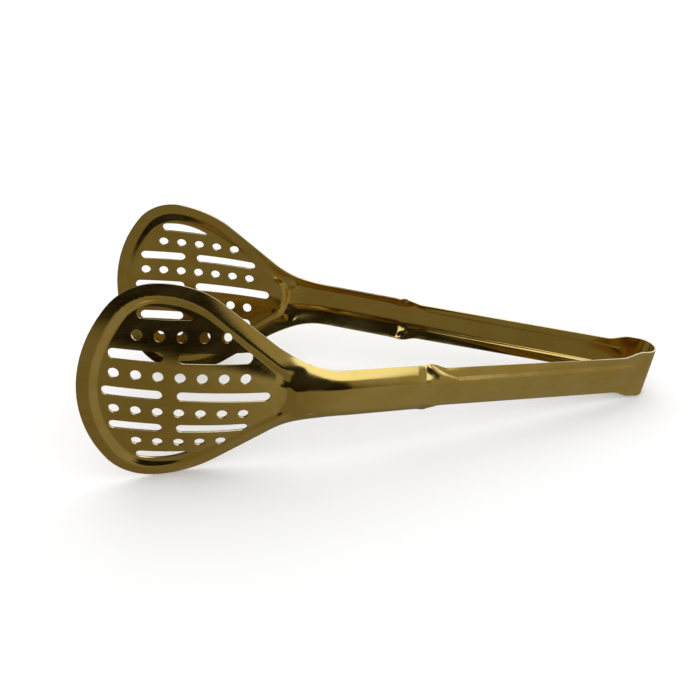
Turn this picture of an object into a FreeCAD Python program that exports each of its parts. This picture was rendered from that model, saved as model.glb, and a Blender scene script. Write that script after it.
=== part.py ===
"""Spring tongs for ice: two perforated scoops on channel-shaped arms, joined by a sprung bow.

The whole tool is one strip of 0.8 mm stainless steel, pierced, pressed and folded in half.
It is modelled flat-on first, in a mid-plane frame: +X runs from the scoops to the bow,
+Y is the right arm's side, +Z is across the scoops' width, and both arms mirror in Y = 0.
It is then laid on a table, on the scoops' lower rims and the bow's lower edge.
"""
import FreeCAD, Part
import math
import os

# Sheet
SHEET = 0.8

# Scoop outline, in the X-Z plane, about the centre of the hole pattern
TIP_X = -36.8
SCOOP_HALF_WIDTH = 41.7
WIDEST_X = -9.0
SHOULDER_R = 21.5
CHEEK_R = 38.5
SIDE_ANGLE = math.radians(36.8)
NECK_R = 46.0

# Scoop form: a trough whose radius opens out from the neck to the tip
SCOOP_Y = 48.0
SCOOP_SLOPE = -0.8
SCOOP_BOW = -1.2
TROUGH_R = 96.0
TROUGH_R_SLOPE = -72.0
TROUGH_R_BOW = 8.0
NECK_TROUGH_R = 10.0
TROUGH_EASE = 12.0
FORM_LENGTH = 30.0

# Panel pressed in from the rim, and domed back out
RIM = 4.0
RIM_WALL = 4.0
NOSE_R = 10.0
RECESS = 1.8
DOME_X = 3.0
DOME_R = 34.0

# Piercings. A slot is given by its row, counted from the middle one, and the X of its two ends,
# and a line of holes by its row and its first and last column.
HOLE_R = 2.2
COLUMN_PITCH = 7.9
ROW_PITCH = 7.6
CENTRE_COLUMN = 3
SLOTS = [(0, -28.4, -6.0), (0, -1.2, 33.6), (2, -26.0, -6.0), (2, -1.2, 26.0)]
HOLE_ROWS = [(1, 0, 6), (3, 1, 5)]

# End slots: two round ends, a straight inner edge and an arched outer edge
END_SLOT_Z = 28.35
END_SLOT_TIP_X = -14.2
END_SLOT_TIP_R = 2.2
END_SLOT_NECK_X = 2.85
END_SLOT_NECK_R = 0.75
END_SLOT_ARCH_R = 26.0

# Arms: the crest of shank and grip runs in one line, and the grip's cut edges close on it
ARM_SPLAY = math.radians(14.41)
ARM_CREST_Y = 33.73
GRIP_SPLAY = math.radians(12.78)
GRIP_EDGE_Y = 29.38
ARM_X = 100.0
NECK_START_X = 35.5
NECK_END_X = 65.0
SHANK_DEPTH = 5.0
SHANK_HALF_WIDTH = 10.1
GRIP_HALF_WIDTH = 8.8
CHANNEL_POWER = 3.0

# Step down from the shank to the narrower grip, slightly swollen before it
STEP_X = 96.5
STEP_LENGTH = 7.5
SWELL = 0.35
SWELL_LENGTH = 5.0

# Dimples pinched into both sides of the neck and of the step, as X, Z, half length, half width
# and depth
PINCHES = [(41.0, 7.5, 6.5, 4.5, 1.0), (96.0, 7.8, 5.0, 3.2, 1.0)]

# Rib along the grip, left standing by shoulders pressed in on both sides of it
RIB_START_X = 94.0
RIB_SLANT = 14.7
RIB_HALF_WIDTH = 4.3
RIB_SIDE = 1.3
RIB_HEIGHT = 1.3
FLAT_START_X = 184.0
FLAT_LENGTH = 14.0

# Bow
BOW_CENTRE_X = 198.4
BOW_HALF_WIDTH = 11.3
FLARE_X = 187.5
FLARE_LENGTH = 9.5

# Where one region of the strip ends and the next begins
SCOOP_END_X = 48.0
SHANK_END_X = 88.0

# Grid of the formed sheet, and the distance over which its slope is taken
GRID_STEP = 1.5
ACROSS_STEPS = 56
SLOPE_REACH = 0.05
OVERRUN = 3.0
TRIM = 1.0

# Size of the boxes and prisms that slice or pierce the sheet, clear of it all round
CUTTER = 100.0

V = FreeCAD.Vector


def ease(x, start, length):
    """Rise smoothly from 0 to 1 over a length."""
    t = min(max((x - start) / length, 0.0), 1.0)
    return t * t * (3.0 - 2.0 * t)


# The tip arc runs into the shoulder arcs, and the cheek arcs into the straight sides.
TIP_TO_WIDEST = WIDEST_X - TIP_X
SHOULDER_Z = SCOOP_HALF_WIDTH - SHOULDER_R
CHEEK_Z = SCOOP_HALF_WIDTH - CHEEK_R
TIP_R = (TIP_TO_WIDEST ** 2 + SHOULDER_Z ** 2 - SHOULDER_R ** 2) / (2.0 * (TIP_TO_WIDEST - SHOULDER_R))
TIP_CENTRE_X = TIP_X + TIP_R
SHOULDER_ANGLE = math.atan2(SHOULDER_Z, WIDEST_X - TIP_CENTRE_X)
SIDE_X = WIDEST_X + CHEEK_R * math.sin(SIDE_ANGLE)
SIDE_Z = CHEEK_Z + CHEEK_R * math.cos(SIDE_ANGLE)

# The neck fillet runs from the straight side to the shank.
NECK_CORNER_X = SIDE_X + (SIDE_Z - SHANK_HALF_WIDTH) / math.tan(SIDE_ANGLE)
NECK_TANGENT = NECK_R * math.tan(SIDE_ANGLE / 2.0)
NECK_ARC_START_X = NECK_CORNER_X - NECK_TANGENT * math.cos(SIDE_ANGLE)
NECK_ARC_END_X = NECK_CORNER_X + NECK_TANGENT

# The panel's nose is an arc centred where it touches both sides of the rim.
NOSE_RIM_R = NOSE_R + RIM + RIM_WALL
NOSE_X = SIDE_X + (SIDE_Z - NOSE_RIM_R / math.cos(SIDE_ANGLE)) / math.tan(SIDE_ANGLE)

# The bow is tangent to both grips, and this is the radius to the middle of its sheet.
BOW_R = (GRIP_EDGE_Y - math.tan(GRIP_SPLAY) * (BOW_CENTRE_X - ARM_X)) * math.cos(GRIP_SPLAY)
BOW_END_X = BOW_CENTRE_X + BOW_R * math.sin(GRIP_SPLAY)
APEX_X = BOW_CENTRE_X + BOW_R + SHEET / 2.0


def half_width(x):
    """Half the strip's width across, anywhere from the scoop's side to the bow."""
    if x < WIDEST_X:
        tip = math.sqrt(max(TIP_R ** 2 - (x - TIP_CENTRE_X) ** 2, 0.0))
        shoulder = SHOULDER_Z + math.sqrt(max(SHOULDER_R ** 2 - (x - WIDEST_X) ** 2, 0.0))
        return min(tip, shoulder)
    if x < SIDE_X:
        return CHEEK_Z + math.sqrt(CHEEK_R ** 2 - (x - WIDEST_X) ** 2)
    if x < NECK_ARC_START_X:
        return SIDE_Z - (x - SIDE_X) * math.tan(SIDE_ANGLE)
    if x < NECK_ARC_END_X:
        return SHANK_HALF_WIDTH + NECK_R - math.sqrt(NECK_R ** 2 - (x - NECK_ARC_END_X) ** 2)
    swollen = SHANK_HALF_WIDTH + SWELL * ease(x, STEP_X - SWELL_LENGTH, SWELL_LENGTH)
    step = (GRIP_HALF_WIDTH - swollen) * ease(x, STEP_X, STEP_LENGTH)
    flare = (BOW_HALF_WIDTH - GRIP_HALF_WIDTH) * ease(x, FLARE_X, FLARE_LENGTH)
    return swollen + step + flare


def distance_inside_rim(x, z):
    """Distance from the scoop's outline, or from the rim round the panel's nose."""
    z = abs(z)
    distance = TIP_R - math.hypot(x - TIP_CENTRE_X, z)
    side = (SIDE_Z - z) * math.cos(SIDE_ANGLE) + (SIDE_X - x) * math.sin(SIDE_ANGLE)
    distance = min(distance, side)
    arcs = [
        (WIDEST_X, SHOULDER_Z, SHOULDER_R, math.pi / 2.0, SHOULDER_ANGLE),
        (WIDEST_X, CHEEK_Z, CHEEK_R, math.pi / 2.0 - SIDE_ANGLE, math.pi / 2.0),
        (NOSE_X, 0.0, NOSE_RIM_R, 0.0, math.pi / 2.0 - SIDE_ANGLE),
    ]
    for centre_x, centre_z, radius, start, end in arcs:
        angle = math.atan2(z - centre_z, x - centre_x)
        if start <= angle <= end:
            distance = min(distance, radius - math.hypot(x - centre_x, z - centre_z))
    return distance


def channel(x):
    """Distance from the mid-plane to the arm's cut edge, and the channel's depth above it."""
    crest = ARM_CREST_Y - math.tan(ARM_SPLAY) * (x - ARM_X)
    grip_edge = GRIP_EDGE_Y - math.tan(GRIP_SPLAY) * (x - ARM_X)
    grip = ease(x, STEP_X, STEP_LENGTH)
    edge = (1.0 - grip) * (crest - SHANK_DEPTH) + grip * grip_edge
    return edge, (crest - edge) * (1.0 - ease(x, FLAT_START_X, FLAT_LENGTH))


def rib_drop(x, z):
    """How far the shoulders beside the grip's rib are pressed in."""
    slant = min(max((x - RIB_START_X) / RIB_SLANT, 0.0), 1.0)
    rib = half_width(x) + (RIB_HALF_WIDTH - half_width(x)) * slant
    height = RIB_HEIGHT * (1.0 - ease(x, FLAT_START_X, FLAT_LENGTH))
    return height * ease(abs(z), rib, RIB_SIDE)


def mound(t):
    """Rise smoothly from 0 at -1 to 1 at 0 and back to 0 at 1."""
    return max(1.0 - t * t, 0.0) ** 2


def trough_radius(x):
    """Radius of the scoop's trough, which eases towards its least value in the neck."""
    along = x / FORM_LENGTH
    radius = TROUGH_R + TROUGH_R_SLOPE * along + TROUGH_R_BOW * along ** 2
    return (radius + NECK_TROUGH_R + math.hypot(radius - NECK_TROUGH_R, TROUGH_EASE)) / 2.0


def form(x, z):
    """Distance from the mid-plane to the sheet, before it is pressed and pinched."""
    along = x / FORM_LENGTH
    neck = ease(x, NECK_START_X, NECK_END_X - NECK_START_X)
    crest = SCOOP_Y + SCOOP_SLOPE * along + SCOOP_BOW * along ** 2
    if neck == 0.0:
        return crest - z ** 2 / (2.0 * trough_radius(x))
    edge, depth = channel(x)
    half = half_width(x)
    trough_drop = half ** 2 / (2.0 * trough_radius(x))
    drop = (1.0 - neck) * trough_drop + neck * (depth - rib_drop(x, half))
    crest = (1.0 - neck) * crest + neck * (edge + depth)
    power = 2.0 + (CHANNEL_POWER - 2.0) * neck
    return crest - drop * (abs(z) / half) ** power - rib_drop(x, z)


def pressed_form(x, z):
    """Distance from the mid-plane to the middle of the finished sheet."""
    pinched = form(x, z)
    for pinch_x, pinch_z, length, width, depth in PINCHES:
        pinched -= depth * mound((x - pinch_x) / length) * mound((abs(z) - pinch_z) / width)
    if x > NECK_END_X:
        return pinched
    pressed = ease(distance_inside_rim(x, z), RIM, RIM_WALL)
    dome = ((x - DOME_X) ** 2 + z ** 2) / DOME_R ** 2
    return pinched - pressed * RECESS * dome


def skin_pair(x, z):
    """Points on the outer and inner skins, half a sheet either side of the middle."""
    middle = V(x, pressed_form(x, z), z)
    slope_x = (pressed_form(x + SLOPE_REACH, z) - pressed_form(x - SLOPE_REACH, z)) / (2.0 * SLOPE_REACH)
    slope_z = (pressed_form(x, z + SLOPE_REACH) - pressed_form(x, z - SLOPE_REACH)) / (2.0 * SLOPE_REACH)
    half_sheet = V(-slope_x, 1.0, -slope_z).normalize() * (SHEET / 2.0)
    return middle + half_sheet, middle - half_sheet


def formed_sheet(start_x, end_x, half_height):
    """Solid sheet between the outer and inner skins over a stretch of the strip."""
    steps = max(int(round((end_x - start_x) / GRID_STEP)), 2)
    outer_rows = []
    inner_rows = []
    for i in range(steps + 1):
        x = start_x + (end_x - start_x) * i / steps
        half = half_height(x)
        heights = [half * (2.0 * j / ACROSS_STEPS - 1.0) for j in range(ACROSS_STEPS + 1)]
        pairs = [skin_pair(x, z) for z in heights]
        outer_rows.append([pair[0] for pair in pairs])
        inner_rows.append([pair[1] for pair in pairs])
    faces = []
    borders = []
    for rows in (outer_rows, inner_rows):
        surface = Part.BSplineSurface()
        surface.interpolate(rows)
        faces.append(surface.toShape())
        u_start, u_end, v_start, v_end = surface.bounds()
        curves = [surface.uIso(u_start), surface.uIso(u_end), surface.vIso(v_start), surface.vIso(v_end)]
        borders.append([curve.toShape() for curve in curves])
    for outer_edge, inner_edge in zip(*borders):
        faces.append(Part.makeRuledSurface(outer_edge, inner_edge))
    shell = Part.makeShell(faces)
    shell.sewShape()
    solid = Part.Solid(shell)
    if solid.Volume < 0:
        solid.reverse()
    return solid


def arc_edge(centre_x, centre_z, radius, start, end):
    """Arc in the X-Z plane between two angles."""
    points = []
    for angle in (start, (start + end) / 2.0, end):
        points.append(V(centre_x + radius * math.cos(angle), 0.0, centre_z + radius * math.sin(angle)))
    return Part.Arc(*points).toShape()


def scoop_outline():
    """Closed wire round the scoop, in the X-Z plane, cut square across the neck."""
    side_foot_z = half_width(NECK_ARC_START_X)
    upper = [
        arc_edge(WIDEST_X, SHOULDER_Z, SHOULDER_R, SHOULDER_ANGLE, math.pi / 2.0),
        arc_edge(WIDEST_X, CHEEK_Z, CHEEK_R, math.pi / 2.0, math.pi / 2.0 - SIDE_ANGLE),
        Part.makeLine(V(SIDE_X, 0, SIDE_Z), V(NECK_ARC_START_X, 0, side_foot_z)),
    ]
    middle_x = (NECK_ARC_START_X + SCOOP_END_X) / 2.0
    neck_points = [V(x, 0, half_width(x)) for x in (NECK_ARC_START_X, middle_x, SCOOP_END_X)]
    upper.append(Part.Arc(*neck_points).toShape())
    mirror = [edge.mirror(V(0, 0, 0), V(0, 0, 1)) for edge in upper]
    tip = arc_edge(TIP_CENTRE_X, 0.0, TIP_R, SHOULDER_ANGLE, 2.0 * math.pi - SHOULDER_ANGLE)
    neck_z = half_width(SCOOP_END_X)
    neck = Part.makeLine(V(SCOOP_END_X, 0, neck_z), V(SCOOP_END_X, 0, -neck_z))
    return Part.Wire(Part.__sortEdges__(upper + mirror + [tip, neck]))


def hole(x, z):
    """Cutter for a round hole."""
    return Part.makeCylinder(HOLE_R, CUTTER, V(x, 0, z), V(0, 1, 0))


def slot(start_x, end_x, z):
    """Cutter for a round-ended slot, from one outer end to the other."""
    first = start_x + HOLE_R
    last = end_x - HOLE_R
    middle = Part.makeBox(last - first, CUTTER, 2.0 * HOLE_R, V(first, 0, z - HOLE_R))
    return middle.fuse([hole(first, z), hole(last, z)])


def end_slot():
    """Cutter for the upper end slot, whose arched edge is tangent to both of its round ends."""
    tip = V(END_SLOT_TIP_X, 0, END_SLOT_Z + END_SLOT_TIP_R)
    neck = V(END_SLOT_NECK_X, 0, END_SLOT_Z + END_SLOT_NECK_R)
    span = neck - tip
    to_tip = END_SLOT_ARCH_R - END_SLOT_TIP_R
    to_neck = END_SLOT_ARCH_R - END_SLOT_NECK_R
    along = (to_tip ** 2 - to_neck ** 2 + span.Length ** 2) / (2.0 * span.Length)
    below = math.sqrt(to_tip ** 2 - along ** 2)
    direction = V(span).normalize()
    centre = tip + direction * along + V(direction.z, 0, -direction.x) * below
    tip_angle = math.atan2(tip.z - centre.z, tip.x - centre.x)
    neck_angle = math.atan2(neck.z - centre.z, neck.x - centre.x)
    edges = [
        arc_edge(tip.x, tip.z, END_SLOT_TIP_R, tip_angle, 1.5 * math.pi),
        arc_edge(centre.x, centre.z, END_SLOT_ARCH_R, neck_angle, tip_angle),
        arc_edge(neck.x, neck.z, END_SLOT_NECK_R, -0.5 * math.pi, neck_angle),
        Part.makeLine(V(tip.x, 0, END_SLOT_Z), V(neck.x, 0, END_SLOT_Z)),
    ]
    return Part.Face(Part.Wire(Part.__sortEdges__(edges))).extrude(V(0, CUTTER, 0))


def piercings():
    """All the cutters of one scoop: rows of slots and rows of holes in turn."""
    upper = end_slot()
    cutters = [upper, upper.mirror(V(0, 0, 0), V(0, 0, 1))]
    for side in (1, -1):
        for row, start_x, end_x in SLOTS:
            if row > 0 or side > 0:
                cutters.append(slot(start_x, end_x, side * row * ROW_PITCH))
        for row, first, last in HOLE_ROWS:
            for column in range(first, last + 1):
                x = (column - CENTRE_COLUMN) * COLUMN_PITCH
                cutters.append(hole(x, side * row * ROW_PITCH))
    return cutters


def scoop_slab_half(x):
    """Half the width of the sheet that the scoop is cut from."""
    return half_width(max(x, WIDEST_X)) + TRIM


def right_scoop():
    """Perforated scoop, trimmed to its outline."""
    slab = formed_sheet(TIP_X - OVERRUN, SCOOP_END_X + OVERRUN, scoop_slab_half)
    prism = Part.Face(scoop_outline()).extrude(V(0, CUTTER, 0))
    return slab.common(prism).cut(piercings()).Solids[0]


def right_shank():
    """Plain channel from the scoop's neck to the grip."""
    sheet = formed_sheet(SCOOP_END_X - OVERRUN, SHANK_END_X + OVERRUN, half_width)
    length = SHANK_END_X - SCOOP_END_X
    slice_box = Part.makeBox(length, CUTTER, CUTTER, V(SCOOP_END_X, 0, -CUTTER / 2.0))
    return sheet.common(slice_box).Solids[0]


def right_grip():
    """Ribbed channel that flattens and flares into the bow."""
    sheet = formed_sheet(SHANK_END_X - OVERRUN, BOW_END_X + OVERRUN, half_width)
    centred = -CUTTER / 2.0
    slice_box = Part.makeBox(2.0 * CUTTER, CUTTER, CUTTER, V(SHANK_END_X, centred, centred))
    beyond_bow = Part.makeBox(CUTTER, CUTTER, CUTTER, V(BOW_CENTRE_X, centred, centred))
    beyond_bow.rotate(V(BOW_CENTRE_X, 0, 0), V(0, 0, 1), -math.degrees(GRIP_SPLAY))
    return sheet.common(slice_box).cut(beyond_bow).Solids[0]


def bow_spring():
    """Half loop of flat strip that joins the arms and springs them apart."""
    end = math.pi / 2.0 - GRIP_SPLAY
    rings = []
    for radius in (BOW_R + SHEET / 2.0, BOW_R - SHEET / 2.0):
        points = []
        for angle in (-end, 0.0, end):
            x = BOW_CENTRE_X + radius * math.cos(angle)
            points.append(V(x, radius * math.sin(angle), -BOW_HALF_WIDTH))
        rings.append(points)
    outer, inner = rings
    edges = [
        Part.Arc(*outer).toShape(),
        Part.makeLine(outer[2], inner[2]),
        Part.Arc(*inner).toShape(),
        Part.makeLine(inner[0], outer[0]),
    ]
    face = Part.Face(Part.Wire(Part.__sortEdges__(edges)))
    return face.extrude(V(0, 0, 2.0 * BOW_HALF_WIDTH))


def resting_tilt():
    """Angle of the mid-plane frame's X axis below the table's plane."""
    far_x = APEX_X - WIDEST_X
    low_z = BOW_HALF_WIDTH - CHEEK_Z
    return math.asin(CHEEK_R / math.hypot(far_x, low_z)) - math.atan2(low_z, far_x)


def lay_on_table(shape):
    """Tilt the shape to rest and put the origin under the middle of its box."""
    tilt = resting_tilt()
    high_x = APEX_X * math.cos(tilt) + BOW_HALF_WIDTH * math.sin(tilt)
    low_x = TIP_CENTRE_X * math.cos(tilt) - TIP_R
    low_z = -APEX_X * math.sin(tilt) - BOW_HALF_WIDTH * math.cos(tilt)
    shape.rotate(V(0, 0, 0), V(0, 1, 0), math.degrees(tilt))
    shape.translate(V(-(high_x + low_x) / 2.0, 0, -low_z))
    return shape


def main():
    os.makedirs("parts", exist_ok=True)
    right = {"scoop": right_scoop(), "shank": right_shank(), "grip": right_grip()}
    nodes = {"bow_spring": bow_spring()}
    for name, shape in right.items():
        nodes["right_" + name] = shape
        nodes["left_" + name] = shape.mirror(V(0, 0, 0), V(0, 1, 0))
    for name, shape in nodes.items():
        placed = lay_on_table(shape)
        placed.exportStep("parts/" + name + ".step")
        box = placed.BoundBox
        print(name, placed.ShapeType, len(placed.Solids), placed.isValid(), round(placed.Volume, 1),
              [round(v, 2) for v in (box.XMin, box.XMax, box.YMin, box.YMax, box.ZMin, box.ZMax)])
    print("tilt", round(math.degrees(resting_tilt()), 3), "bow radius", round(BOW_R, 3))


main()
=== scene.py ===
"""Perforated ice tongs in polished gold-coloured steel, lying on a pale table."""
import math

import bpy
import numpy as np
from mathutils import Matrix, Quaternion, Vector
from mathutils.geometry import delaunay_2d_cdt


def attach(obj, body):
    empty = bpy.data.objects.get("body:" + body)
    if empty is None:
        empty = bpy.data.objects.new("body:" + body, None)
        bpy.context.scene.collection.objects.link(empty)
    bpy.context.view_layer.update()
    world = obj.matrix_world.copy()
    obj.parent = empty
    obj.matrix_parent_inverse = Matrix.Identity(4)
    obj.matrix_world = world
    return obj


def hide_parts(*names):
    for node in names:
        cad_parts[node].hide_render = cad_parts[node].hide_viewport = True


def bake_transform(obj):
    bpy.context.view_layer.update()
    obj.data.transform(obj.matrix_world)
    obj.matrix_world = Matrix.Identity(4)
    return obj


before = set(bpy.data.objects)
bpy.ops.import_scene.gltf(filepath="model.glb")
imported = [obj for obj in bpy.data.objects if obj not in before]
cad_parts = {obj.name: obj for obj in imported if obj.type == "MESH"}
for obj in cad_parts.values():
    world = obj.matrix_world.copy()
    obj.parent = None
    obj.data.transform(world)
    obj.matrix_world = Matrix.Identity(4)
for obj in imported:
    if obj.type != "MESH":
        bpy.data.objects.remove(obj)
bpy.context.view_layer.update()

# ---------------------------------------------------------------- the strip's form
# Millimetres, in the mid-plane frame: +X from the scoops to the bow, +Y to the right
# arm, +Z across the scoops' width. The values are the CAD model's own.

SHEET = 0.8

# Scoop outline, in the X-Z plane, about the centre of the hole pattern
TIP_X = -36.8
SCOOP_HALF_WIDTH = 41.7
WIDEST_X = -9.0
SHOULDER_R = 21.5
CHEEK_R = 38.5
SIDE_ANGLE = math.radians(36.8)
NECK_R = 46.0

# Scoop form: a trough whose radius opens out from the neck to the tip
SCOOP_Y = 48.0
SCOOP_SLOPE = -0.8
SCOOP_BOW = -1.2
TROUGH_R = 96.0
TROUGH_R_SLOPE = -72.0
TROUGH_R_BOW = 8.0
NECK_TROUGH_R = 10.0
TROUGH_EASE = 12.0
FORM_LENGTH = 30.0

# Panel pressed in from the rim, and domed back out
RIM = 4.0
RIM_WALL = 4.0
NOSE_R = 10.0
RECESS = 1.8
DOME_X = 3.0
DOME_R = 34.0

# Piercings. A slot is given by its row, counted from the middle one, and the X of its two ends,
# and a line of holes by its row and its first and last column.
HOLE_R = 2.2
COLUMN_PITCH = 7.9
ROW_PITCH = 7.6
CENTRE_COLUMN = 3
SLOTS = [(0, -28.4, -6.0), (0, -1.2, 33.6), (2, -26.0, -6.0), (2, -1.2, 26.0)]
HOLE_ROWS = [(1, 0, 6), (3, 1, 5)]

# End slots: two round ends, a straight inner edge and an arched outer edge
END_SLOT_Z = 28.35
END_SLOT_TIP_X = -14.2
END_SLOT_TIP_R = 2.2
END_SLOT_NECK_X = 2.85
END_SLOT_NECK_R = 0.75
END_SLOT_ARCH_R = 26.0

# Arms: the crest of shank and grip runs in one line, and the grip's cut edges close on it
ARM_SPLAY = math.radians(14.41)
ARM_CREST_Y = 33.73
GRIP_SPLAY = math.radians(12.78)
GRIP_EDGE_Y = 29.38
ARM_X = 100.0
NECK_START_X = 35.5
NECK_END_X = 65.0
SHANK_DEPTH = 5.0
SHANK_HALF_WIDTH = 10.1
GRIP_HALF_WIDTH = 8.8
CHANNEL_POWER = 3.0

# Step down from the shank to the narrower grip, slightly swollen before it
STEP_X = 96.5
STEP_LENGTH = 7.5
SWELL = 0.35
SWELL_LENGTH = 5.0

# Dimples pinched into both sides of the neck and of the step, as X, Z, half length, half width
# and depth
PINCHES = [(41.0, 7.5, 6.5, 4.5, 1.0), (96.0, 7.8, 5.0, 3.2, 1.0)]

# Rib along the grip, left standing by shoulders pressed in on both sides of it
RIB_START_X = 94.0
RIB_SLANT = 14.7
RIB_HALF_WIDTH = 4.3
RIB_SIDE = 1.3
RIB_HEIGHT = 1.3
FLAT_START_X = 184.0
FLAT_LENGTH = 14.0

# Bow
BOW_CENTRE_X = 198.4
BOW_HALF_WIDTH = 11.3
FLARE_X = 187.5
FLARE_LENGTH = 9.5

# Where one region of the strip ends and the next begins
SCOOP_END_X = 48.0
SHANK_END_X = 88.0

# Worked out from the values above
SHOULDER_Z = SCOOP_HALF_WIDTH - SHOULDER_R
CHEEK_Z = SCOOP_HALF_WIDTH - CHEEK_R
TIP_TO_WIDEST = WIDEST_X - TIP_X
TIP_R = (TIP_TO_WIDEST ** 2 + SHOULDER_Z ** 2 - SHOULDER_R ** 2) / (2.0 * (TIP_TO_WIDEST - SHOULDER_R))
TIP_CENTRE_X = TIP_X + TIP_R
SHOULDER_ANGLE = math.atan2(SHOULDER_Z, WIDEST_X - TIP_CENTRE_X)
SIDE_X = WIDEST_X + CHEEK_R * math.sin(SIDE_ANGLE)
SIDE_Z = CHEEK_Z + CHEEK_R * math.cos(SIDE_ANGLE)
NECK_CORNER_X = SIDE_X + (SIDE_Z - SHANK_HALF_WIDTH) / math.tan(SIDE_ANGLE)
NECK_TANGENT = NECK_R * math.tan(SIDE_ANGLE / 2.0)
NECK_ARC_START_X = NECK_CORNER_X - NECK_TANGENT * math.cos(SIDE_ANGLE)
NECK_ARC_END_X = NECK_CORNER_X + NECK_TANGENT
NOSE_RIM_R = NOSE_R + RIM + RIM_WALL
NOSE_X = SIDE_X + (SIDE_Z - NOSE_RIM_R / math.cos(SIDE_ANGLE)) / math.tan(SIDE_ANGLE)
BOW_R = (GRIP_EDGE_Y - math.tan(GRIP_SPLAY) * (BOW_CENTRE_X - ARM_X)) * math.cos(GRIP_SPLAY)
BOW_END_X = BOW_CENTRE_X + BOW_R * math.sin(GRIP_SPLAY)
APEX_X = BOW_CENTRE_X + BOW_R + SHEET / 2.0

# Mesh fineness, in millimetres or in steps. The surface's points keep a share of their own
# spacing clear of any edge, and distances are worked out in parts to spare memory.
EDGE_R = 0.22
EDGE_STEPS = 4
RIM_STEP = 0.7
HOLE_STEPS = 40
SURFACE_STEP = 0.75
ACROSS_STEPS = 64
ALONG_STEP = 0.6
BOW_STEPS = 40
NECK_RIM_POINTS = 12
LEAST_ARC_STEPS = 4
EDGE_CLEARANCE = 0.55
DISTANCE_PARTS = 40
SLOPE_REACH = 0.03
SAME_POINT = 1e-6


def ease(x, start, length):
    """Rise smoothly from 0 to 1 over a length."""
    t = np.clip((x - start) / length, 0.0, 1.0)
    return t * t * (3.0 - 2.0 * t)


def root(value):
    """Square root of what is above zero."""
    return np.sqrt(np.maximum(value, 0.0))


def half_width(x):
    """Half the strip's width across, anywhere from the tip to the bow."""
    x = np.asarray(x, float)
    tip = root(TIP_R ** 2 - (x - TIP_CENTRE_X) ** 2)
    shoulder = SHOULDER_Z + root(SHOULDER_R ** 2 - (x - WIDEST_X) ** 2)
    cheek = CHEEK_Z + root(CHEEK_R ** 2 - (x - WIDEST_X) ** 2)
    side = SIDE_Z - (x - SIDE_X) * math.tan(SIDE_ANGLE)
    neck = SHANK_HALF_WIDTH + NECK_R - root(NECK_R ** 2 - (x - NECK_ARC_END_X) ** 2)
    swollen = SHANK_HALF_WIDTH + SWELL * ease(x, STEP_X - SWELL_LENGTH, SWELL_LENGTH)
    step = (GRIP_HALF_WIDTH - swollen) * ease(x, STEP_X, STEP_LENGTH)
    flare = (BOW_HALF_WIDTH - GRIP_HALF_WIDTH) * ease(x, FLARE_X, FLARE_LENGTH)
    arm = swollen + step + flare
    limits = [x < WIDEST_X, x < SIDE_X, x < NECK_ARC_START_X, x < NECK_ARC_END_X]
    return np.select(limits, [np.minimum(tip, shoulder), cheek, side, neck], arm)


def distance_inside_rim(x, z):
    """Distance from the scoop's outline, or from the rim round the panel's nose."""
    z = np.abs(z)
    distance = TIP_R - np.hypot(x - TIP_CENTRE_X, z)
    side = (SIDE_Z - z) * math.cos(SIDE_ANGLE) + (SIDE_X - x) * math.sin(SIDE_ANGLE)
    distance = np.minimum(distance, side)
    arcs = [
        (WIDEST_X, SHOULDER_Z, SHOULDER_R, math.pi / 2.0, SHOULDER_ANGLE),
        (WIDEST_X, CHEEK_Z, CHEEK_R, math.pi / 2.0 - SIDE_ANGLE, math.pi / 2.0),
        (NOSE_X, 0.0, NOSE_RIM_R, 0.0, math.pi / 2.0 - SIDE_ANGLE),
    ]
    for centre_x, centre_z, radius, start, end in arcs:
        angle = np.arctan2(z - centre_z, x - centre_x)
        inside = (angle >= start) & (angle <= end)
        to_arc = radius - np.hypot(x - centre_x, z - centre_z)
        distance = np.where(inside, np.minimum(distance, to_arc), distance)
    return distance


def channel(x):
    """Distance from the mid-plane to the arm's cut edge, and the channel's depth above it."""
    crest = ARM_CREST_Y - math.tan(ARM_SPLAY) * (x - ARM_X)
    grip_edge = GRIP_EDGE_Y - math.tan(GRIP_SPLAY) * (x - ARM_X)
    grip = ease(x, STEP_X, STEP_LENGTH)
    edge = (1.0 - grip) * (crest - SHANK_DEPTH) + grip * grip_edge
    return edge, (crest - edge) * (1.0 - ease(x, FLAT_START_X, FLAT_LENGTH))


def rib_drop(x, z):
    """How far the shoulders beside the grip's rib are pressed in."""
    slant = np.clip((x - RIB_START_X) / RIB_SLANT, 0.0, 1.0)
    rib = half_width(x) + (RIB_HALF_WIDTH - half_width(x)) * slant
    height = RIB_HEIGHT * (1.0 - ease(x, FLAT_START_X, FLAT_LENGTH)) * (x > NECK_END_X)
    return height * ease(np.abs(z), rib, RIB_SIDE)


def mound(t):
    """Rise smoothly from 0 at -1 to 1 at 0 and back to 0 at 1."""
    return np.maximum(1.0 - t * t, 0.0) ** 2


def trough_radius(x):
    """Radius of the scoop's trough, which eases towards its least value in the neck."""
    along = x / FORM_LENGTH
    radius = TROUGH_R + TROUGH_R_SLOPE * along + TROUGH_R_BOW * along ** 2
    return (radius + NECK_TROUGH_R + np.hypot(radius - NECK_TROUGH_R, TROUGH_EASE)) / 2.0


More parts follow.
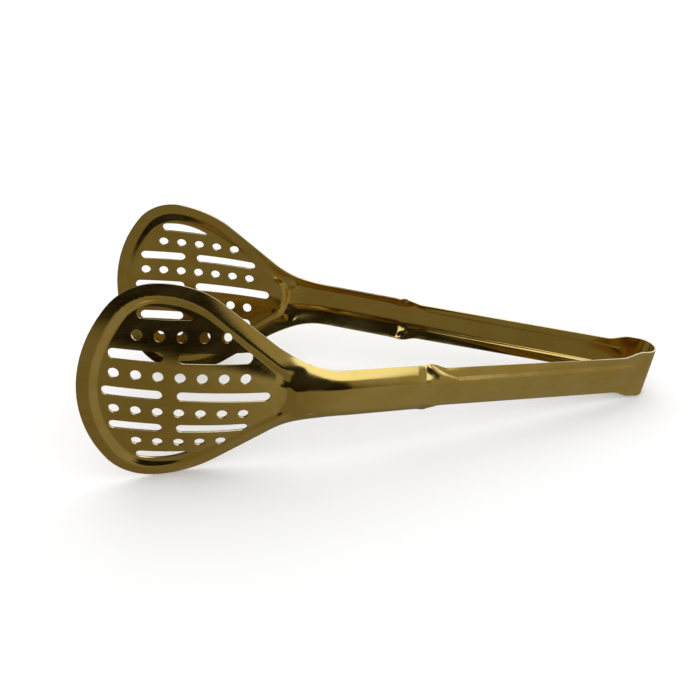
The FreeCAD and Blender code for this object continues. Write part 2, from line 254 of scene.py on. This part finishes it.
def form(x, z):
    """Distance from the mid-plane to the sheet, before it is pressed and pinched."""
    along = x / FORM_LENGTH
    neck = ease(x, NECK_START_X, NECK_END_X - NECK_START_X)
    radius = trough_radius(x)
    scoop_crest = SCOOP_Y + SCOOP_SLOPE * along + SCOOP_BOW * along ** 2
    edge, depth = channel(x)
    half = np.maximum(half_width(x), EDGE_R)
    drop = (1.0 - neck) * half ** 2 / (2.0 * radius) + neck * (depth - rib_drop(x, half))
    crest = (1.0 - neck) * scoop_crest + neck * (edge + depth)
    power = 2.0 + (CHANNEL_POWER - 2.0) * neck
    trough = z ** 2 / (2.0 * radius)
    return crest - np.where(neck > 0.0, drop * (np.abs(z) / half) ** power, trough) - rib_drop(x, z)


def pressed_form(x, z):
    """Distance from the mid-plane to the middle of the finished sheet."""
    pressed = ease(distance_inside_rim(x, z), RIM, RIM_WALL) * (x < NECK_END_X)
    dome = ((x - DOME_X) ** 2 + z ** 2) / DOME_R ** 2
    pinched = form(x, z)
    for pinch_x, pinch_z, length, width, depth in PINCHES:
        pinched = pinched - depth * mound((x - pinch_x) / length) * mound((np.abs(z) - pinch_z) / width)
    return pinched - pressed * RECESS * dome


def formed_surface(x, z):
    """Points on the middle of the right arm's sheet, and the sheet's outward normals there."""
    x = np.asarray(x, float)
    z = np.asarray(z, float)
    slope_x = (pressed_form(x + SLOPE_REACH, z) - pressed_form(x - SLOPE_REACH, z)) / (2.0 * SLOPE_REACH)
    slope_z = (pressed_form(x, z + SLOPE_REACH) - pressed_form(x, z - SLOPE_REACH)) / (2.0 * SLOPE_REACH)
    normals = np.stack([-slope_x, np.ones_like(x), -slope_z], -1)
    normals /= np.linalg.norm(normals, axis=-1, keepdims=True)
    return np.stack([x, pressed_form(x, z), z], -1), normals


def bow_surface(angle, z):
    """Points on the middle of the bow's sheet, and its outward normals there."""
    normals = np.stack([np.cos(angle), np.sin(angle), np.zeros_like(angle)], -1)
    points = normals * BOW_R + np.array([BOW_CENTRE_X, 0.0, 0.0])
    points[..., 2] = z
    return points, normals


# ---------------------------------------------------------------- laying it on the table

FAR_X = APEX_X - WIDEST_X
LOW_Z = BOW_HALF_WIDTH - CHEEK_Z
TILT = math.asin(CHEEK_R / math.hypot(FAR_X, LOW_Z)) - math.atan2(LOW_Z, FAR_X)
HIGH_X = APEX_X * math.cos(TILT) + BOW_HALF_WIDTH * math.sin(TILT)
LOW_X = TIP_CENTRE_X * math.cos(TILT) - TIP_R
FLOOR_DROP = APEX_X * math.sin(TILT) + BOW_HALF_WIDTH * math.cos(TILT)
TURN = np.array(Matrix.Rotation(TILT, 3, "Y"))
SHIFT = np.array([-(HIGH_X + LOW_X) / 2.0, 0.0, FLOOR_DROP])
MM = 0.001


def to_row(points):
    """Mid-plane frame in millimetres to the row frame in metres."""
    return (np.asarray(points, float) @ TURN.T + SHIFT) * MM


# ---------------------------------------------------------------- sheet meshes

class SheetMesh:
    """A closed mesh with its own vertex normals, built in the mid-plane frame."""

    def __init__(self):
        self.points = []
        self.normals = []
        self.edges = []
        self.count = 0
        self.faces = []
        self.flat_faces = []

    def add_points(self, points, normals, edge):
        """Add vertices and give back their numbers. edge is 1 on a cut edge and 0 on the sheet."""
        points = np.asarray(points, float)
        numbers = np.arange(self.count, self.count + points.size // 3).reshape(points.shape[:-1])
        self.points.append(points.reshape(-1, 3))
        self.normals.append(np.asarray(normals, float).reshape(-1, 3))
        self.edges.append(np.full(numbers.size, float(edge)))
        self.count += numbers.size
        return numbers

    def add_strip(self, first, second, closed):
        """Join two rows of vertices with quads."""
        last = len(first) if closed else len(first) - 1
        for i in range(last):
            j = (i + 1) % len(first)
            self.faces.append((first[i], first[j], second[j], second[i]))

    def add_edge(self, outer_row, inner_row, surface, outward, closed):
        """Round the cut edge from the outer skin's border to the inner skin's."""
        points, normals = surface
        rows = [outer_row]
        for side in (1.0, -1.0):
            turns = np.linspace(0.0, math.pi / 2.0, EDGE_STEPS + 1)[1:]
            if side < 0.0:
                turns = np.linspace(math.pi / 2.0, 0.0, EDGE_STEPS + 1)[:-1]
            for turn in turns:
                lift = side * (SHEET / 2.0 - EDGE_R + EDGE_R * math.cos(turn))
                reach = EDGE_R * (math.sin(turn) - 1.0)
                ring_normals = side * math.cos(turn) * normals + math.sin(turn) * outward
                rows.append(self.add_points(points + outward * reach + normals * lift, ring_normals, 1))
        rows.append(inner_row)
        for first, second in zip(rows, rows[1:]):
            self.add_strip(first, second, closed)
        return rows

    def build(self, name, mirrored):
        """Make the Blender object in the row frame, mirrored to the left arm if asked."""
        points = np.concatenate(self.points)
        normals = np.concatenate(self.normals)
        faces = self.faces + self.flat_faces
        if mirrored:
            points = points * [1.0, -1.0, 1.0]
            normals = normals * [1.0, -1.0, 1.0]
            faces = [tuple(face[::-1]) for face in faces]
        mesh = bpy.data.meshes.new(name)
        mesh.from_pydata(to_row(points).tolist(), [], [[int(v) for v in face] for face in faces])
        mesh.validate()
        mesh.polygons.foreach_set("use_smooth", [True] * len(mesh.polygons))
        corner_vertices = np.zeros(len(mesh.loops), int)
        mesh.loops.foreach_get("vertex_index", corner_vertices)
        corner_normals = (normals @ TURN.T)[corner_vertices]
        for polygon in mesh.polygons[len(self.faces):]:
            polygon.use_smooth = False
            corner_normals[polygon.loop_start:polygon.loop_start + polygon.loop_total] = polygon.normal
        mesh.normals_split_custom_set(corner_normals.tolist())
        attribute = mesh.attributes.new("cut_edge", "FLOAT", "POINT")
        attribute.data.foreach_set("value", np.concatenate(self.edges).astype(np.float32))
        piece = bpy.data.objects.new(name, mesh)
        bpy.context.scene.collection.objects.link(piece)
        return piece


def fill_grid(mesh, surface, across_outward):
    """Both skins, both long cut edges and both end caps of a gridded stretch of the strip."""
    points, normals = surface
    inset = np.zeros_like(points)
    for column in (0, -1):
        inset[:, column] = -EDGE_R * across_outward[:, column]
    outer = mesh.add_points(points + inset + normals * SHEET / 2.0, normals, 0)
    inner = mesh.add_points(points + inset - normals * SHEET / 2.0, -normals, 0)
    for i in range(len(points) - 1):
        mesh.add_strip(outer[i], outer[i + 1], False)
        mesh.add_strip(inner[i + 1], inner[i], False)
    rims = []
    for column in (0, -1):
        border = (points[:, column], normals[:, column])
        out = across_outward[:, column]
        order = slice(None) if column == 0 else slice(None, None, -1)
        flipped = (border[0][order], border[1][order])
        rims.append(mesh.add_edge(outer[order, column], inner[order, column], flipped, out[order], False))
    low, high = rims
    start_low = [row[0] for row in low]
    start_high = [row[-1] for row in high]
    end_low = [row[-1] for row in low]
    end_high = [row[0] for row in high]
    mesh.flat_faces.append(list(outer[0]) + start_high[1:-1] + list(inner[0][::-1]) + start_low[1:-1][::-1])
    end_face = list(outer[-1]) + end_high[1:-1] + list(inner[-1][::-1]) + end_low[1:-1][::-1]
    mesh.flat_faces.append(end_face[::-1])


def outward_across(points, normals):
    """Unit directions across the strip, in the sheet, pointing away from its centre line."""
    across = np.gradient(points, axis=1)
    across -= np.sum(across * normals, -1, keepdims=True) * normals
    across /= np.linalg.norm(across, axis=-1, keepdims=True)
    across[:, :across.shape[1] // 2] *= -1.0
    return across


def arm_stretch(name, mirrored, start_x, end_x):
    """Shank or grip: the formed channel between two places along the arm."""
    steps = int(round((end_x - start_x) / ALONG_STEP))
    x = np.linspace(start_x, end_x, steps + 1)[:, None]
    across = np.linspace(-1.0, 1.0, ACROSS_STEPS + 1)[None, :]
    z = half_width(x) * across
    points, normals = formed_surface(np.broadcast_to(x, z.shape), z)
    mesh = SheetMesh()
    fill_grid(mesh, (points, normals), outward_across(points, normals))
    return mesh.build(name, mirrored)


def bow_half(name, mirrored):
    """Half of the bow, from the end of an arm to the apex."""
    angle = np.linspace(math.pi / 2.0 - GRIP_SPLAY, 0.0, BOW_STEPS + 1)[:, None]
    across = np.linspace(-1.0, 1.0, ACROSS_STEPS + 1)[None, :]
    z = BOW_HALF_WIDTH * across
    points, normals = bow_surface(np.broadcast_to(angle, (len(angle), z.shape[1])), z)
    mesh = SheetMesh()
    fill_grid(mesh, (points, normals), outward_across(points, normals))
    return mesh.build(name, mirrored)


# ---------------------------------------------------------------- the scoop

def arc_points(centre_x, centre_z, radius, start, end, step=RIM_STEP):
    """Points along an arc in the X-Z plane, without the last one."""
    count = max(int(abs(end - start) * radius / step), LEAST_ARC_STEPS)
    angles = np.linspace(start, end, count + 1)[:-1]
    return np.stack([centre_x + radius * np.cos(angles), centre_z + radius * np.sin(angles)], -1)


def scoop_rim():
    """The scoop's outline from the neck's upper corner round the tip to the lower one."""
    neck_x = np.linspace(SCOOP_END_X, NECK_ARC_START_X, NECK_RIM_POINTS)[:-1]
    neck = np.stack([neck_x, half_width(neck_x)], -1)
    side_count = int((NECK_ARC_START_X - SIDE_X) / math.cos(SIDE_ANGLE) / RIM_STEP)
    side_x = np.linspace(NECK_ARC_START_X, SIDE_X, side_count)[:-1]
    side = np.stack([side_x, half_width(side_x)], -1)
    cheek = arc_points(WIDEST_X, CHEEK_Z, CHEEK_R, math.pi / 2.0 - SIDE_ANGLE, math.pi / 2.0)
    shoulder = arc_points(WIDEST_X, SHOULDER_Z, SHOULDER_R, math.pi / 2.0, SHOULDER_ANGLE)
    tip = arc_points(TIP_CENTRE_X, 0.0, TIP_R, SHOULDER_ANGLE, math.pi)
    upper = np.concatenate([neck, side, cheek, shoulder, tip])
    lower = upper[::-1] * [1.0, -1.0]
    return np.concatenate([upper, [[TIP_X, 0.0]], lower])


def hole(x, z):
    """Outline of a round hole."""
    angles = np.linspace(0.0, 2.0 * math.pi, HOLE_STEPS + 1)[:-1]
    return np.stack([x + HOLE_R * np.cos(angles), z + HOLE_R * np.sin(angles)], -1)


def slot(start_x, end_x, z):
    """Outline of a round-ended slot, from one outer end to the other."""
    half_turn = np.linspace(0.0, math.pi, HOLE_STEPS // 2 + 1)
    first = start_x + HOLE_R
    last = end_x - HOLE_R
    left = np.stack([first - HOLE_R * np.sin(half_turn), z + HOLE_R * np.cos(half_turn)], -1)
    right = np.stack([last + HOLE_R * np.sin(half_turn), z - HOLE_R * np.cos(half_turn)], -1)
    bottom_x = np.linspace(first, last, int((last - first) / RIM_STEP) + 1)[1:-1]
    bottom = np.stack([bottom_x, np.full_like(bottom_x, z - HOLE_R)], -1)
    top = np.stack([bottom_x[::-1], np.full_like(bottom_x, z + HOLE_R)], -1)
    return np.concatenate([left, bottom, right, top])


def end_slot():
    """Outline of the upper end slot, whose arched edge is tangent to both of its round ends."""
    tip = np.array([END_SLOT_TIP_X, END_SLOT_Z + END_SLOT_TIP_R])
    neck = np.array([END_SLOT_NECK_X, END_SLOT_Z + END_SLOT_NECK_R])
    span = np.hypot(*(neck - tip))
    to_tip = END_SLOT_ARCH_R - END_SLOT_TIP_R
    to_neck = END_SLOT_ARCH_R - END_SLOT_NECK_R
    along = (to_tip ** 2 - to_neck ** 2 + span ** 2) / (2.0 * span)
    below = math.sqrt(to_tip ** 2 - along ** 2)
    direction = (neck - tip) / span
    centre = tip + direction * along + np.array([direction[1], -direction[0]]) * below
    tip_angle = math.atan2(tip[1] - centre[1], tip[0] - centre[0])
    neck_angle = math.atan2(neck[1] - centre[1], neck[0] - centre[0])
    tip_end = arc_points(*tip, END_SLOT_TIP_R, tip_angle, 1.5 * math.pi, 0.5 * RIM_STEP)
    inner_edge = np.linspace([tip[0], END_SLOT_Z], [neck[0], END_SLOT_Z], int(span / RIM_STEP))[:-1]
    neck_end = arc_points(*neck, END_SLOT_NECK_R, -0.5 * math.pi, neck_angle, 0.25 * RIM_STEP)
    arch = arc_points(*centre, END_SLOT_ARCH_R, neck_angle, tip_angle)
    return np.concatenate([tip_end, inner_edge, neck_end, arch])


def piercings():
    """All the outlines pierced in one scoop: rows of slots and rows of holes in turn."""
    outlines = [end_slot(), end_slot()[::-1] * [1.0, -1.0]]
    for side in (1, -1):
        for row, start_x, end_x in SLOTS:
            if row > 0 or side > 0:
                outlines.append(slot(start_x, end_x, side * row * ROW_PITCH))
        for row, first, last in HOLE_ROWS:
            for column in range(first, last + 1):
                x = (column - CENTRE_COLUMN) * COLUMN_PITCH
                outlines.append(hole(x, side * row * ROW_PITCH))
    return outlines


def inside_outline(points, outline):
    """Which points lie inside a closed outline."""
    x, z = points[:, 0][:, None], points[:, 1][:, None]
    x1, z1 = outline[:, 0], outline[:, 1]
    x2, z2 = np.roll(x1, -1), np.roll(z1, -1)
    level = z2 - z1
    crossing = x1 + (z - z1) / np.where(level == 0.0, 1.0, level) * (x2 - x1)
    return np.sum(((z1 > z) != (z2 > z)) & (x < crossing), axis=1) % 2 == 1


def distance_to_points(points, others):
    """Distance from each point to the nearest of the others."""
    return np.concatenate([
        np.min(np.hypot(*(chunk[:, None] - others[None]).transpose(2, 0, 1)), axis=1)
        for chunk in np.array_split(points, DISTANCE_PARTS)
    ])


def sheet_lattice(rim, holes):
    """Points spread evenly over the pierced sheet, clear of its edges."""
    row_step = SURFACE_STEP * math.sqrt(3.0) / 2.0
    rows = np.arange(-SCOOP_HALF_WIDTH, SCOOP_HALF_WIDTH, row_step)
    lattice = []
    for i, z in enumerate(rows):
        x = np.arange(TIP_X, SCOOP_END_X, SURFACE_STEP) + (i % 2) * SURFACE_STEP / 2.0
        lattice.append(np.stack([x, np.full_like(x, z)], -1))
    lattice = np.concatenate(lattice)
    lattice = lattice[inside_outline(lattice, rim)]
    for hole in holes:
        lattice = lattice[~inside_outline(lattice, hole)]
    borders = np.concatenate([rim] + holes)
    return lattice[distance_to_points(lattice, borders) > EDGE_CLEARANCE * SURFACE_STEP]


def in_sheet(points_2d, normals, directions_2d):
    """Turn directions in the X-Z plane into unit directions that lie in the sheet."""
    slope = -(normals[:, 0] * directions_2d[:, 0] + normals[:, 2] * directions_2d[:, 1]) / normals[:, 1]
    directions = np.stack([directions_2d[:, 0], slope, directions_2d[:, 1]], -1)
    return directions / np.linalg.norm(directions, axis=-1, keepdims=True)


def side_directions(outline, closed):
    """Unit directions square to an outline, on its right-hand side."""
    if closed:
        along = np.roll(outline, -1, axis=0) - np.roll(outline, 1, axis=0)
    else:
        along = np.gradient(outline, axis=0)
    along /= np.linalg.norm(along, axis=-1, keepdims=True)
    return np.stack([along[:, 1], -along[:, 0]], -1)


def scoop(name, mirrored):
    """Perforated scoop: both skins triangulated round the piercings, and every edge rounded."""
    rim = scoop_rim()
    neck_z = -half_width(SCOOP_END_X) * np.linspace(1.0, -1.0, ACROSS_STEPS + 1)[1:-1]
    neck = np.stack([np.full_like(neck_z, SCOOP_END_X), neck_z], -1)
    holes = piercings()
    lattice = sheet_lattice(np.concatenate([rim, neck]), holes)

    outlines = [np.concatenate([rim, neck])] + holes
    flat = np.concatenate(outlines + [lattice])
    constraints = []
    start = 0
    for outline in outlines:
        numbers = np.arange(start, start + len(outline))
        constraints += list(zip(numbers.tolist(), np.roll(numbers, -1).tolist()))
        start += len(outline)
    made = delaunay_2d_cdt([Vector(p) for p in flat], constraints, [], 1, SAME_POINT)
    flat_made, triangles, origin = made[0], np.array(made[2]), made[3]
    if len(flat_made) != len(flat):
        raise RuntimeError("the scoop's triangulation moved a point")
    number_of = np.array([source[0] for source in origin])
    triangles = number_of[triangles]
    centres = flat[triangles].mean(axis=1)
    keep = np.ones(len(triangles), bool)
    for hole in holes:
        keep &= ~inside_outline(centres, hole)
    triangles = triangles[keep]
    a, b, c = (flat[triangles[:, k]] for k in range(3))
    turn = (b[:, 0] - a[:, 0]) * (c[:, 1] - a[:, 1]) - (b[:, 1] - a[:, 1]) * (c[:, 0] - a[:, 0])
    triangles[turn > 0.0] = triangles[turn > 0.0][:, ::-1]

    points, normals = formed_surface(flat[:, 0], flat[:, 1])
    outward = np.zeros_like(points)
    spans = []
    start = 0
    for i, outline in enumerate(outlines):
        count = len(rim) if i == 0 else len(outline)
        span = np.arange(start, start + count)
        directions = side_directions(flat[span], closed=i > 0)
        outward[span] = in_sheet(flat[span], normals[span], directions)
        spans.append(span)
        start += len(outline)

    mesh = SheetMesh()
    pulled_in = points - outward * EDGE_R
    outer = mesh.add_points(pulled_in + normals * SHEET / 2.0, normals, 0)
    inner = mesh.add_points(pulled_in - normals * SHEET / 2.0, -normals, 0)
    mesh.faces += [tuple(face) for face in outer[triangles]]
    mesh.faces += [tuple(face[::-1]) for face in inner[triangles]]
    rim_rows = None
    for i, span in enumerate(spans):
        surface = (points[span], normals[span])
        rows = mesh.add_edge(outer[span], inner[span], surface, outward[span], closed=i > 0)
        if i == 0:
            rim_rows = rows
    neck_numbers = np.arange(len(rim), len(rim) + len(neck))
    upper = [row[0] for row in rim_rows]
    lower = [row[-1] for row in rim_rows]
    cap = lower + list(inner[neck_numbers]) + upper[::-1] + list(outer[neck_numbers][::-1])
    mesh.flat_faces.append(cap)
    return mesh.build(name, mirrored)


# ---------------------------------------------------------------- shader nodes

def link(tree, value, socket):
    """Feed a socket with another node's output, or with a plain value."""
    if isinstance(value, bpy.types.NodeSocket):
        tree.links.new(value, socket)
    else:
        socket.default_value = value


def math_node(tree, operation, *values):
    """A sum, product or other operation on outputs or plain numbers."""
    node = tree.nodes.new("ShaderNodeMath")
    node.operation = operation
    for socket, value in zip(node.inputs, values):
        link(tree, value, socket)
    return node.outputs[0]


def fade(tree, value, start, end, low=0.0, high=1.0):
    """Smooth change from low, where the value is at start, to high, where it is at end."""
    node = tree.nodes.new("ShaderNodeMapRange")
    node.interpolation_type = "SMOOTHSTEP"
    link(tree, value, node.inputs["Value"])
    limits = {"From Min": start, "From Max": end, "To Min": low, "To Max": high}
    if start > end:
        limits = {"From Min": end, "From Max": start, "To Min": high, "To Max": low}
    for name, limit in limits.items():
        node.inputs[name].default_value = limit
    return node.outputs["Result"]


def mix_colours(tree, amount, first, second):
    """The first colour turning into the second as the amount goes from 0 to 1."""
    node = tree.nodes.new("ShaderNodeMix")
    node.data_type = "RGBA"
    link(tree, amount, node.inputs["Factor"])
    for value, socket in ((first, node.inputs["A"]), (second, node.inputs["B"])):
        link(tree, (*value, 1.0) if isinstance(value, tuple) else value, socket)
    return node.outputs["Result"]


def noise(tree, position, periods, detail, roughness=0.5):
    """Noise from 0 to 1 whose typical size along X, Y and Z is given in millimetres."""
    stretch = tree.nodes.new("ShaderNodeVectorMath")
    stretch.operation = "MULTIPLY"
    link(tree, position, stretch.inputs[0])
    stretch.inputs[1].default_value = [1.0 / (MM * period) for period in periods]
    node = tree.nodes.new("ShaderNodeTexNoise")
    link(tree, stretch.outputs["Vector"], node.inputs["Vector"])
    node.inputs["Scale"].default_value = 1.0
    node.inputs["Detail"].default_value = detail
    node.inputs["Roughness"].default_value = roughness
    return node.outputs["Fac"]


# ---------------------------------------------------------------- material

GOLD = (0.85, 0.615, 0.155)
DEEP_GOLD = (0.80, 0.545, 0.115)
PALE_GOLD = (0.90, 0.69, 0.23)
BARE_EDGE = (0.96, 0.80, 0.42)


def gold_steel():
    """Gold-coloured coating on polished sheet: drawn grain, faint smears, and worn cut edges."""
    material = bpy.data.materials.new("gold_steel")
    material.use_nodes = True
    tree = material.node_tree
    position = tree.nodes.new("ShaderNodeTexCoord").outputs["Object"]
    cut_edge = tree.nodes.new("ShaderNodeAttribute")
    cut_edge.attribute_name = "cut_edge"

    grain = noise(tree, position, (24.0, 0.9, 0.55), 3.0, 0.65)
    fine_grain = noise(tree, position, (6.0, 0.25, 0.16), 2.0)
    smears = noise(tree, position, (17.0, 12.0, 9.0), 4.0, 0.6)
    specks = noise(tree, position, (0.9, 0.9, 0.9), 2.0)
    ripples = noise(tree, position, (16.0, 16.0, 9.0), 1.0)

    tone = mix_colours(tree, fade(tree, smears, 0.35, 0.65), DEEP_GOLD, GOLD)
    tone = mix_colours(tree, fade(tree, grain, 0.52, 0.78, 0.0, 0.55), tone, PALE_GOLD)
    worn = math_node(tree, "MULTIPLY", cut_edge.outputs["Fac"], fade(tree, specks, 0.25, 0.5, 0.45, 1.0))
    colour = mix_colours(tree, worn, tone, BARE_EDGE)

    roughness = fade(tree, smears, 0.38, 0.68, 0.10, 0.17)
    roughness = math_node(tree, "ADD", roughness, fade(tree, grain, 0.3, 0.8, -0.015, 0.04))
    roughness = math_node(tree, "ADD", roughness, math_node(tree, "MULTIPLY", worn, 0.10))

    shader = tree.nodes["Principled BSDF"]
    shader.inputs["Metallic"].default_value = 1.0
    link(tree, colour, shader.inputs["Base Color"])
    link(tree, roughness, shader.inputs["Roughness"])
    surface = None
    for height, depth_mm in ((ripples, 0.030), (grain, 0.0035), (fine_grain, 0.0012)):
        bump = tree.nodes.new("ShaderNodeBump")
        bump.inputs["Distance"].default_value = depth_mm * MM
        link(tree, height, bump.inputs["Height"])
        if surface is not None:
            link(tree, surface, bump.inputs["Normal"])
        surface = bump.outputs["Normal"]
    link(tree, surface, shader.inputs["Normal"])
    return material


# ---------------------------------------------------------------- stage

def aim(azimuth, elevation):
    """Direction to a place in the room. Azimuth 0 is the side the camera stands on, 90 the right."""
    azimuth, elevation = math.radians(azimuth), math.radians(elevation)
    return (
        math.sin(azimuth) * math.cos(elevation),
        -math.cos(azimuth) * math.cos(elevation),
        math.sin(elevation),
    )


def beyond(tree, direction, azimuth, elevation, start, end):
    """The half of the room towards a place: 0 where the cosine to it is start, 1 where it is end."""
    node = tree.nodes.new("ShaderNodeVectorMath")
    node.operation = "DOT_PRODUCT"
    link(tree, direction, node.inputs[0])
    node.inputs[1].default_value = aim(azimuth, elevation)
    return fade(tree, node.outputs["Value"], start, end)


# Camera: the place it looks at and its distance, in millimetres, and its side, height and roll
CAMERA_TARGET = (-16.73, 0.0, 28.80)
CAMERA_DISTANCE = 345.74
CAMERA_AZIMUTH = -5.13
CAMERA_ELEVATION = 29.47
CAMERA_ROLL = math.radians(-0.6)
CAMERA_LENS = 41.07

# White studio as the camera sees it, and the floor, whose half side is in metres
STUDIO_STRENGTH = 1.12
FLOOR_HALF_SIDE = 3.0
FLOOR_COLOUR = (0.97, 0.97, 0.97, 1.0)

# Parts of the room that the metal mirrors
FLOOR_FRONT = (0.156, 0.140, 0.105)
FLOOR_RIGHT = (0.235, 0.228, 0.235)
ROOM_GREY = (0.272, 0.256, 0.238)
DARK_FRONT = (0.004, 0.003, 0.003)
BACKDROP = (0.92, 0.99, 1.40)
SOFTBOX = (1.15, 1.25, 1.70)


def softbox(tree, direction):
    """Where the overhead softbox is: a long window over the object that runs to the backdrop."""
    parts = tree.nodes.new("ShaderNodeSeparateXYZ")
    link(tree, direction, parts.inputs[0])
    height = math_node(tree, "MAXIMUM", parts.outputs["Z"], 0.02)
    across = math_node(tree, "DIVIDE", parts.outputs["X"], height)
    back = math_node(tree, "DIVIDE", parts.outputs["Y"], height)
    slanted = math_node(tree, "ADD", across, math_node(tree, "MULTIPLY", back, 0.45))
    left_side = fade(tree, across, 0.06, 0.18)
    right_side = fade(tree, slanted, 0.80, 0.66)
    front_side = fade(tree, back, -1.18, -0.94)
    return math_node(tree, "MULTIPLY", math_node(tree, "MULTIPLY", left_side, right_side), front_side)


def studio_world():
    """A white studio seen directly; in the metal, an overhead softbox, a backdrop and a dark front."""
    world = bpy.data.worlds.new("studio")
    bpy.context.scene.world = world
    world.use_nodes = True
    tree = world.node_tree
    direction = tree.nodes.new("ShaderNodeTexCoord").outputs["Generated"]
    dark_left = beyond(tree, direction, -54, 0, -0.12, 0.08)
    dark_above = beyond(tree, direction, -30, 82, -0.10, 0.05)
    above_table = beyond(tree, direction, 0, 90, -0.35, -0.02)
    back = beyond(tree, direction, 175, 0, 0.14, 0.42)
    back_right = math_node(tree, "MULTIPLY", back, beyond(tree, direction, 90, 0, 0.0, 0.35))
    areas = [
        (FLOOR_RIGHT, beyond(tree, direction, 75, -20, 0.25, 0.75)),
        (ROOM_GREY, math_node(tree, "MULTIPLY",
                              beyond(tree, direction, 60, 10, 0.30, 0.75), above_table)),
        (DARK_FRONT, math_node(tree, "MULTIPLY", dark_left, dark_above)),
        (BACKDROP, math_node(tree, "MULTIPLY", back_right, above_table)),
        (SOFTBOX, softbox(tree, direction)),
    ]
    colour = FLOOR_FRONT
    for area_colour, amount in areas:
        colour = mix_colours(tree, amount, colour, area_colour)
    seen = tree.nodes["Background"]
    seen.inputs["Color"].default_value = (1.0, 1.0, 1.0, 1.0)
    seen.inputs["Strength"].default_value = STUDIO_STRENGTH
    mirrored = tree.nodes.new("ShaderNodeBackground")
    link(tree, colour, mirrored.inputs["Color"])
    choice = tree.nodes.new("ShaderNodeMixShader")
    link(tree, tree.nodes.new("ShaderNodeLightPath").outputs["Is Glossy Ray"], choice.inputs["Fac"])
    link(tree, seen.outputs[0], choice.inputs[1])
    link(tree, mirrored.outputs[0], choice.inputs[2])
    link(tree, choice.outputs[0], tree.nodes["World Output"].inputs["Surface"])


def pale_floor():
    """Pale floor that the metal doesn't mirror."""
    size = FLOOR_HALF_SIDE
    corners = [(-size, -size, 0), (size, -size, 0), (size, size, 0), (-size, size, 0)]
    floor_mesh = bpy.data.meshes.new("floor")
    floor_mesh.from_pydata(corners, [], [(0, 1, 2, 3)])
    floor = bpy.data.objects.new("floor", floor_mesh)
    bpy.context.scene.collection.objects.link(floor)
    floor.visible_glossy = False
    pale = bpy.data.materials.new("pale_floor")
    pale.use_nodes = True
    shader = pale.node_tree.nodes["Principled BSDF"]
    shader.inputs["Base Color"].default_value = FLOOR_COLOUR
    shader.inputs["Roughness"].default_value = 1.0
    shader.inputs["Specular IOR Level"].default_value = 0.0
    floor_mesh.materials.append(pale)


def camera():
    """Camera at the viewing angle of a person standing in front of the table."""
    target = Vector(CAMERA_TARGET) * MM
    distance = CAMERA_DISTANCE * MM
    back = Vector(aim(CAMERA_AZIMUTH, CAMERA_ELEVATION))
    data = bpy.data.cameras.new("camera")
    data.lens = CAMERA_LENS
    data.clip_start = 0.01
    cam = bpy.data.objects.new("camera", data)
    bpy.context.scene.collection.objects.link(cam)
    cam.location = target + back * distance
    cam.rotation_mode = "QUATERNION"
    cam.rotation_quaternion = (-back).to_track_quat("-Z", "Y") @ Quaternion((0.0, 0.0, 1.0), CAMERA_ROLL)
    bpy.context.scene.camera = cam


# ---------------------------------------------------------------- the object

def finish_piece(piece, node, material):
    """Give a piece its material, and let it stand for its CAD node."""
    piece.data.materials.append(material)
    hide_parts(node)


def tongs():
    """Both arms, each riding on its body, and the bow bending between them."""
    material = gold_steel()
    for side, mirrored in (("left", True), ("right", False)):
        pieces = {
            "scoop": scoop(side + "_scoop_sheet", mirrored),
            "shank": arm_stretch(side + "_shank_sheet", mirrored, SCOOP_END_X, SHANK_END_X),
            "grip": arm_stretch(side + "_grip_sheet", mirrored, SHANK_END_X, BOW_END_X),
        }
        for region, piece in pieces.items():
            finish_piece(piece, side + "_" + region, material)
            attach(piece, side + "_arm")
        half = bow_half(side + "_bow_half", mirrored)
        finish_piece(half, "bow_spring", material)
        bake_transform(half)


tongs()
pale_floor()
studio_world()
camera()
bpy.context.scene.view_settings.view_transform = "Standard"
